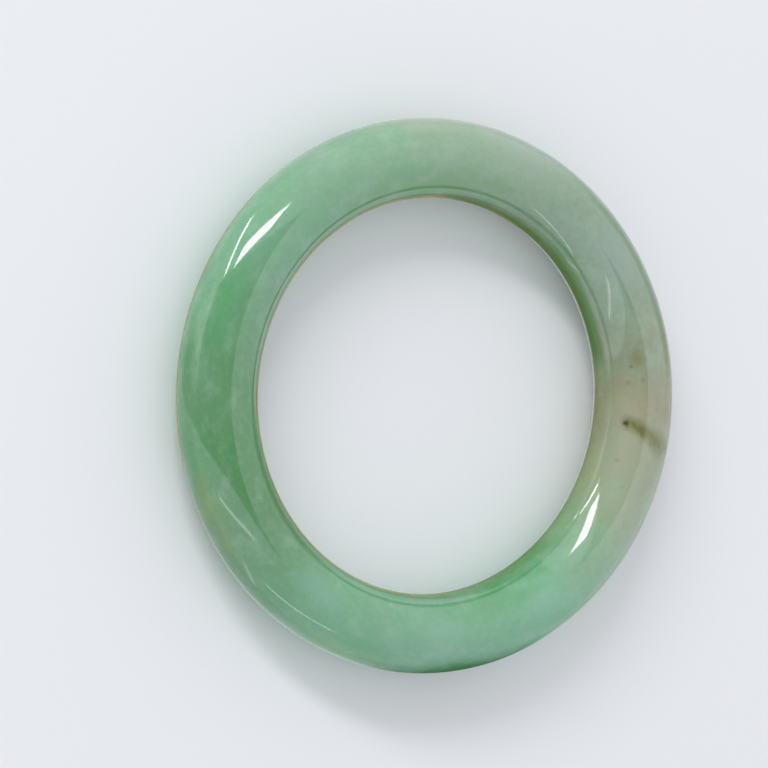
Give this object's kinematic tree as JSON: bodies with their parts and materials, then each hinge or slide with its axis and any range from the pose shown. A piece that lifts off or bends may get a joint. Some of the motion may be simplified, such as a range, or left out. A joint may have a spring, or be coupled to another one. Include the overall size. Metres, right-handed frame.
{
  "type": "bangle bracelet",
  "caption": "Closed round-bar bangle of polished green and pale stone, slipped over the hand, with no clasp or hinge.",
  "frame": {"origin": "the ring's centre, on the plane that it rests on when it lies flat", "axes": "+Z along the hole's axis, up when the ring lies flat; the ring lies in the XY plane; +Y runs towards the paler end of the dark green stretch and +X towards the brown-stained side"},
  "size_m": [0.08, 0.08, 0.0117],
  "materials": {
    "jade": "polished to a wet gloss, slightly translucent"
  },
  "bodies": {
    "root": {"bangle": "jade"}
  },
  "joints": []
}
